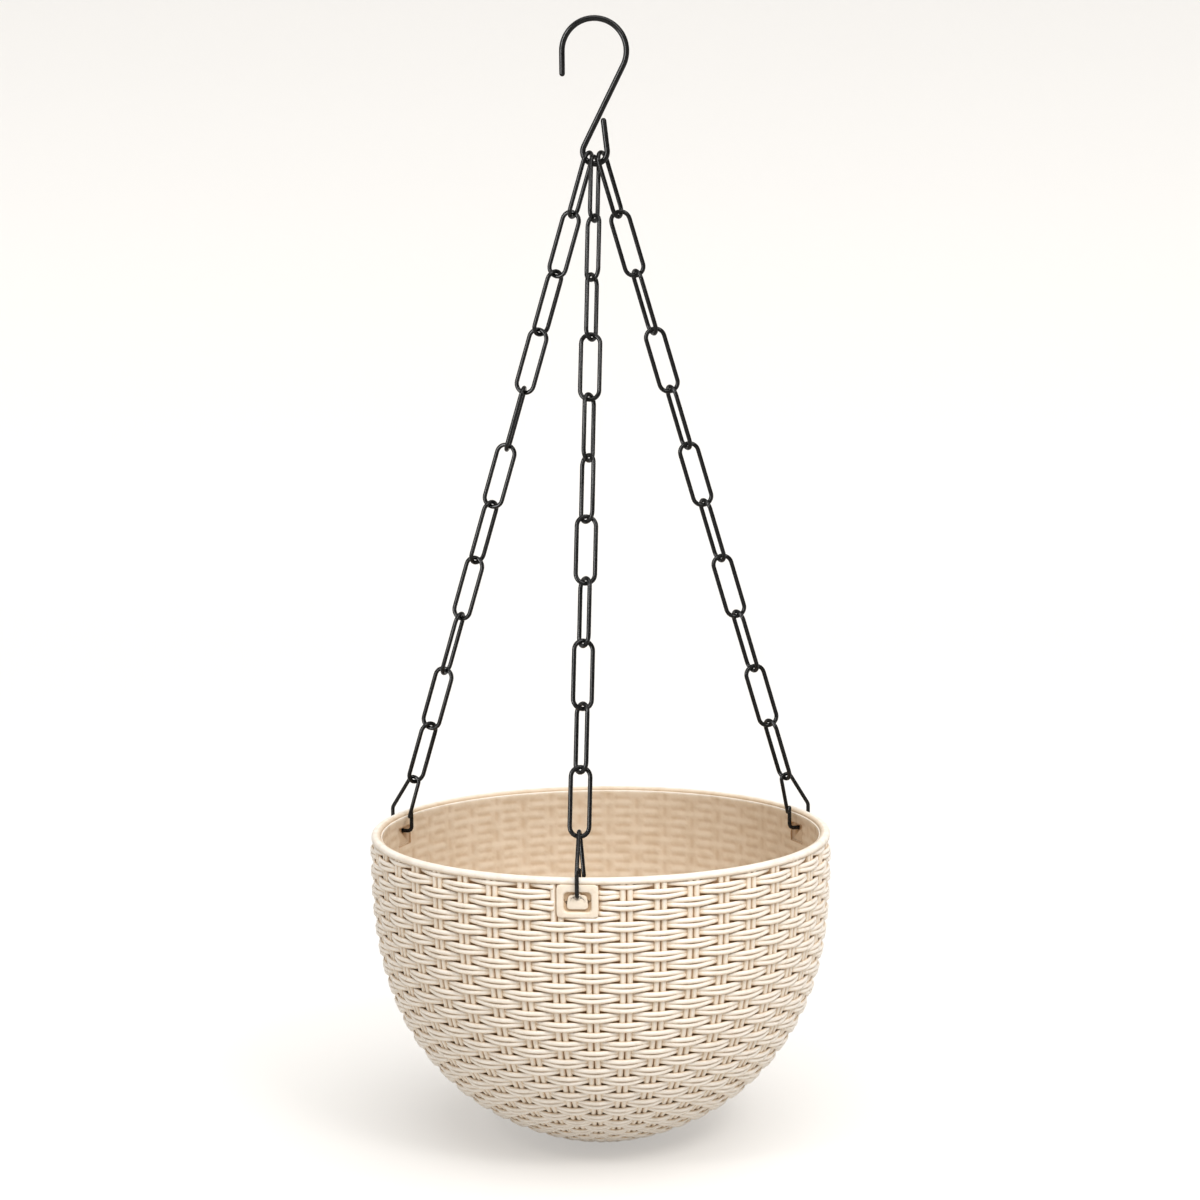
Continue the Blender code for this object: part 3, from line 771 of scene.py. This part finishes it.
def cut_openings(piece):
    """Cut the inner pockets, the clip holes and the drain holes out of the wall."""
    pockets = bmesh.new()
    rods = bmesh.new()
    overrun = BASE_THICKNESS / 2
    lying = Matrix.Rotation(pi / 2, 4, "X")
    for angle in PAD_ANGLES.values():
        size = Vector((POCKET_WIDTH, POCKET_DEPTH + overrun, POCKET_BOTTOM - POCKET_TOP))
        inner = BOWL_RADIUS - WALL + (POCKET_DEPTH - overrun) / 2
        add_box(pockets, size, pad_place(angle, inner, RIM_Z - (POCKET_TOP + POCKET_BOTTOM) / 2))
        hole = pad_place(angle, HOLE_RADIUS, RIM_Z - HOLE_DEPTH)
        add_rod(rods, HOLE_DIAMETER, WALL + 2 * overrun, hole @ lying)
    for i in range(DRAIN_COUNT):
        foot = around(2 * pi * i / DRAIN_COUNT, DRAIN_CIRCLE / 2, RIM_Z - BOWL_HEIGHT)
        add_rod(rods, DRAIN_DIAMETER, 2 * BASE_THICKNESS + 2 * overrun, Matrix.Translation(foot))
    for name, work in (("pockets", pockets), ("holes", rods)):
        # The cut faces of the pockets and holes get painted shade
        painted_shade = work.verts.layers.float.new("painted_shade")
        for vert in work.verts:
            vert[painted_shade] = CUT_SHADE
        cutter = mesh_object(name, work)
        boolean = piece.modifiers.new(name, "BOOLEAN")
        boolean.object = cutter
        boolean.solver = "MANIFOLD"
        graph = bpy.context.evaluated_depsgraph_get()
        cut = bpy.data.meshes.new_from_object(piece.evaluated_get(graph))
        piece.modifiers.remove(boolean)
        piece.data = cut
        bpy.data.objects.remove(cutter)
    piece.data.set_sharp_from_angle(angle=radians(SHARP_ANGLE))


def mesh_object(name, work):
    mesh = bpy.data.meshes.new(name)
    work.to_mesh(mesh)
    work.free()
    item = bpy.data.objects.new(name, mesh)
    bpy.context.scene.collection.objects.link(item)
    return item


def add_piece(name, work, body, slot, material, *nodes):
    piece = mesh_object(name, work)
    piece.data.materials.append(material)
    piece.data.shade_smooth()
    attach(piece, body)
    if nodes:
        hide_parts(*nodes)
    return piece


def new_material(name):
    material = bpy.data.materials.new(name)
    material.use_nodes = True
    return material, material.node_tree, material.node_tree.nodes["Principled BSDF"]


def node(tree, kind, **inputs):
    made = tree.nodes.new(kind)
    for name, value in inputs.items():
        made.inputs[name.replace("_", " ")].default_value = value
    return made


def link(tree, output, inlet):
    tree.links.new(output, inlet)


def ramp(tree, source, stops, low=0.0, high=1.0):
    """A colour ramp fed by a value."""
    spread = node(tree, "ShaderNodeMapRange", From_Min=low, From_Max=high)
    link(tree, source, spread.inputs["Value"])
    made = tree.nodes.new("ShaderNodeValToRGB")
    made.color_ramp.interpolation = "EASE"
    elements = made.color_ramp.elements
    while len(elements) < len(stops):
        elements.new(0.5)
    for element, (place, colour) in zip(elements, stops):
        element.position = place
        element.color = (*colour, 1.0)
    link(tree, spread.outputs["Result"], made.inputs["Fac"])
    return made.outputs["Color"]


def moulded_skin():
    """Node group: soft mottle, uneven sheen and the fine skin of moulded plastic."""
    group = bpy.data.node_groups.new("moulded_skin", "ShaderNodeTree")
    sockets = (("Colour", "INPUT", "NodeSocketColor"), ("Roughness", "INPUT", "NodeSocketFloat"),
               ("Mottle", "INPUT", "NodeSocketFloat"), ("Colour", "OUTPUT", "NodeSocketColor"),
               ("Roughness", "OUTPUT", "NodeSocketFloat"), ("Normal", "OUTPUT", "NodeSocketVector"))
    for name, way, kind in sockets:
        group.interface.new_socket(name, in_out=way, socket_type=kind)
    entry = group.nodes.new("NodeGroupInput")
    leave = group.nodes.new("NodeGroupOutput")
    place = group.nodes.new("ShaderNodeTexCoord")
    cloud = node(group, "ShaderNodeTexNoise", Scale=160.0, Detail=3.0, Roughness=0.55)
    skin = node(group, "ShaderNodeTexNoise", Scale=2600.0, Detail=2.0)
    for texture in (cloud, skin):
        link(group, place.outputs["Object"], texture.inputs["Vector"])
    mottle = [(0.0, (0.91, 0.88, 0.84)), (1.0, (1.0, 1.0, 1.0))]
    shade = ramp(group, cloud.outputs["Fac"], mottle, 0.3, 0.65)
    tint = group.nodes.new("ShaderNodeMix")
    tint.data_type = "RGBA"
    tint.blend_type = "MULTIPLY"
    link(group, entry.outputs["Mottle"], tint.inputs[0])
    link(group, entry.outputs["Colour"], tint.inputs[6])
    link(group, shade, tint.inputs[7])
    link(group, tint.outputs[2], leave.inputs["Colour"])
    spread = node(group, "ShaderNodeMapRange", From_Min=0.3, From_Max=0.7, To_Min=-0.05, To_Max=0.07)
    link(group, cloud.outputs["Fac"], spread.inputs["Value"])
    total = group.nodes.new("ShaderNodeMath")
    link(group, entry.outputs["Roughness"], total.inputs[0])
    link(group, spread.outputs["Result"], total.inputs[1])
    link(group, total.outputs["Value"], leave.inputs["Roughness"])
    bump = node(group, "ShaderNodeBump", Strength=0.12, Distance=0.1 * MM)
    link(group, skin.outputs["Fac"], bump.inputs["Height"])
    link(group, bump.outputs["Normal"], leave.inputs["Normal"])
    return group


def moulded_plastic(name, skin, stops, roughness, mottle):
    """Satin cream plastic, whose colour carries painted shade in the crevices of the weave and painted
    highlights on the crowns.
    """
    material, tree, shader = new_material(name)
    painted_shade = tree.nodes.new("ShaderNodeAttribute")
    painted_shade.attribute_name = "painted_shade"
    finish = tree.nodes.new("ShaderNodeGroup")
    finish.node_tree = skin
    finish.inputs["Roughness"].default_value = roughness
    finish.inputs["Mottle"].default_value = mottle
    link(tree, ramp(tree, painted_shade.outputs["Fac"], stops), finish.inputs["Colour"])
    link(tree, finish.outputs["Colour"], shader.inputs["Base Color"])
    link(tree, finish.outputs["Roughness"], shader.inputs["Roughness"])
    link(tree, finish.outputs["Normal"], shader.inputs["Normal"])
    return material


def black_wire():
    """Black satin coated steel wire."""
    material, tree, shader = new_material("black_coated_wire")
    place = node(tree, "ShaderNodeTexCoord")
    coat = node(tree, "ShaderNodeTexNoise", Scale=900.0, Detail=4.0, Roughness=0.6)
    link(tree, place.outputs["Object"], coat.inputs["Vector"])
    stops = [(0.0, (0.002, 0.002, 0.002)), (1.0, (0.007, 0.007, 0.007))]
    colour = ramp(tree, coat.outputs["Fac"], stops, 0.3, 0.7)
    shader.inputs["Specular IOR Level"].default_value = 0.18
    link(tree, colour, shader.inputs["Base Color"])
    rough = node(tree, "ShaderNodeMapRange", From_Min=0.3, From_Max=0.7, To_Min=0.14, To_Max=0.2)
    link(tree, coat.outputs["Fac"], rough.inputs["Value"])
    link(tree, rough.outputs["Result"], shader.inputs["Roughness"])
    bump = node(tree, "ShaderNodeBump", Strength=0.1, Distance=0.05 * MM)
    link(tree, coat.outputs["Fac"], bump.inputs["Height"])
    link(tree, bump.outputs["Normal"], shader.inputs["Normal"])
    return material


def width_of(name, middle, along):
    """Direction of a link's width, from its node in the frame."""
    flat = []
    for vert in frame["nodes"][name].data.vertices:
        away = vert.co - middle
        flat.append(away - along * away.dot(along))
    widest = max(flat, key=lambda v: v.length)
    total = Vector()
    for away in flat:
        total += away if away.dot(widest) > 0 else -away
    return total.normalized()


def build_wires(black):
    add_piece("hook_wire", hook_wire().work, "hook", "hook_wire", black, "hook")
    for joint in frame["joints"]:
        child = joint["child"]
        place = Vector(joint["pos_m"])
        along = Vector(joint["axis"])
        if along.z < 0:
            along = -along
        if child.startswith("link_"):
            width = width_of(child, place, along)
            wire = link_wire(place, along, width)
            add_piece(child + "_wire", wire.work, child, "chain_wire", black, child)
        elif child.startswith("clip_"):
            across = UP.cross(along).normalized()
            wire = clip_wire(place, along, across)
            add_piece(child + "_wire", wire.work, child, "clip_wire", black, child)


def build_bowl(cream, wall):
    piece = add_piece("bowl_shell", shell(), "bowl", "bowl_plastic", wall, "bowl")
    cut_openings(piece)
    add_piece("bowl_stakes", stakes(), "bowl", "bowl_plastic", cream)
    rows = list(range(len(wall_line.rows)))
    third = ceil(len(rows) / 3)
    bands = {"upper": rows[:third], "middle": rows[third:2 * third], "lower": rows[2 * third:]}
    for name, band in bands.items():
        add_piece("weave_" + name, weave_band(band), "bowl", "bowl_plastic", cream)
    for side, angle in PAD_ANGLES.items():
        add_piece("pad_" + side, pad(angle), "bowl", "bowl_plastic", cream)


def build_stage():
    """A pale floor that curves up into a backdrop."""
    work = bmesh.new()
    floor = RIM_Z - BOWL_HEIGHT - STAGE_GAP
    profile = [(-STAGE_REACH, floor), (STAGE_BACK, floor)]
    for i in range(1, STAGE_STEPS + 1):
        turn = pi / 2 * i / STAGE_STEPS
        rise = STAGE_CURVE - STAGE_CURVE * cos(turn)
        profile.append((STAGE_BACK + STAGE_CURVE * sin(turn), floor + rise))
    profile.append((STAGE_BACK + STAGE_CURVE, floor + STAGE_TOP))
    line = [work.verts.new((-STAGE_REACH, y, z)) for y, z in profile]
    edges = [work.edges.new(pair) for pair in zip(line, line[1:])]
    made = bmesh.ops.extrude_edge_only(work, edges=edges)["geom"]
    bmesh.ops.translate(work, vec=(2 * STAGE_REACH, 0, 0), verts=[v for v in made if is_vert(v)])
    stage = mesh_object("floor", work)
    stage.data.shade_smooth()
    material, tree, shader = new_material("pale_floor")
    shader.inputs["Base Color"].default_value = (0.54, 0.53, 0.515, 1.0)
    shader.inputs["Emission Color"].default_value = (1.0, 0.992, 0.975, 1.0)
    path = tree.nodes.new("ShaderNodeLightPath")
    glow = node(tree, "ShaderNodeMapRange", To_Min=0.14, To_Max=0.4)
    link(tree, path.outputs["Is Camera Ray"], glow.inputs["Value"])
    link(tree, glow.outputs["Result"], shader.inputs["Emission Strength"])
    shader.inputs["Roughness"].default_value = 0.9
    shader.inputs["Specular IOR Level"].default_value = 0.1
    stage.data.materials.append(material)


def add_sun(name, towards, softness, strength, colour):
    light = bpy.data.lights.new(name, "SUN")
    light.angle = radians(softness)
    light.energy = strength
    light.color = colour
    item = bpy.data.objects.new(name, light)
    item.rotation_euler = Vector(towards).to_track_quat("Z", "Y").to_euler()
    bpy.context.scene.collection.objects.link(item)


def add_softbox(name, place, target, size, power, colour, only=None):
    """A rectangular lamp, which may light only the pieces of one collection."""
    light = bpy.data.lights.new(name, "AREA")
    light.shape = "RECTANGLE"
    light.size = size[0]
    light.size_y = size[1]
    light.energy = power
    light.color = colour
    item = bpy.data.objects.new(name, light)
    item.location = place
    item.rotation_euler = (Vector(target) - Vector(place)).to_track_quat("-Z", "Y").to_euler()
    item.visible_camera = False
    if only:
        item.light_linking.receiver_collection = only
    bpy.context.scene.collection.objects.link(item)


def build_light():
    world = bpy.data.worlds.new("studio")
    bpy.context.scene.world = world
    world.use_nodes = True
    tree = world.node_tree
    back = tree.nodes["Background"]
    path = tree.nodes.new("ShaderNodeLightPath")
    colours = [(0.0, (0.29, 0.269, 0.24)), (1.0, (0.975, 0.972, 0.963))]
    seen = ramp(tree, path.outputs["Is Camera Ray"], colours)
    link(tree, seen, back.inputs["Color"])
    back.inputs["Strength"].default_value = 1.0
    add_sun("key", (0.22, -0.46, 1.25), 66.0, 2.75, (1.0, 0.995, 0.99))
    add_softbox("glint_right", (0.75, -1.3, 0.8), (0, 0, -0.5), (0.45, 0.45), 10.0, (1.0, 0.99, 0.98))
    add_softbox("glint_left", (-0.95, -1.2, 0.75), (0, 0, -0.3), (0.3, 0.3), 5.0, (1.0, 0.99, 0.98))
    wires = bpy.data.collections.new("wires")
    for item in bpy.data.objects:
        if item.name.endswith("_wire"):
            wires.objects.link(item)
    add_softbox("sheen_left", (-0.92, -0.92, 0.1), (0, 0, 0.1), (0.5, 1.7), 55.0, (1.0, 1.0, 1.0), wires)
    bpy.context.scene.view_settings.view_transform = "Standard"


def build_camera():
    data = bpy.data.cameras.new("camera")
    data.lens = CAMERA_LENS
    data.clip_start = 10 * MM
    item = bpy.data.objects.new("camera", data)
    forward = Vector((0, cos(CAMERA_PITCH), -sin(CAMERA_PITCH)))
    upward = Vector((0, sin(CAMERA_PITCH), cos(CAMERA_PITCH)))
    right = Vector((1, 0, 0))
    rolled = cos(CAMERA_ROLL) * right + sin(CAMERA_ROLL) * upward
    stood = cos(CAMERA_ROLL) * upward - sin(CAMERA_ROLL) * right
    turn = Matrix((rolled, stood, -forward)).transposed().to_4x4()
    place = Vector((CAMERA_SIDE, -CAMERA_DISTANCE, RIM_Z + CAMERA_ABOVE_RIM))
    item.matrix_world = Matrix.Translation(place) @ turn
    bpy.context.scene.collection.objects.link(item)
    bpy.context.scene.camera = item


# Colours along the painted shade value: dark brown painted shade in crevices, rising to a near-white painted
# highlight on the crowns
WEAVE_STOPS = [(0.0, (0.22, 0.10, 0.04)), (0.18, (0.45, 0.275, 0.14)), (0.45, (0.74, 0.57, 0.395)),
               (0.75, (0.885, 0.78, 0.645)), (1.0, (0.95, 0.895, 0.82))]
WALL_STOPS = [(0.0, (0.44, 0.27, 0.145)), (0.4, (0.66, 0.525, 0.385)), (0.85, (0.80, 0.695, 0.565)),
              (1.0, (0.91, 0.85, 0.77))]

skin = moulded_skin()
cream = moulded_plastic("woven_cream_plastic", skin, WEAVE_STOPS, 0.3, 0.6)
wall = moulded_plastic("plain_cream_plastic", skin, WALL_STOPS, 0.42, 1.0)
build_wires(black_wire())
build_bowl(cream, wall)
build_stage()
build_light()
build_camera()
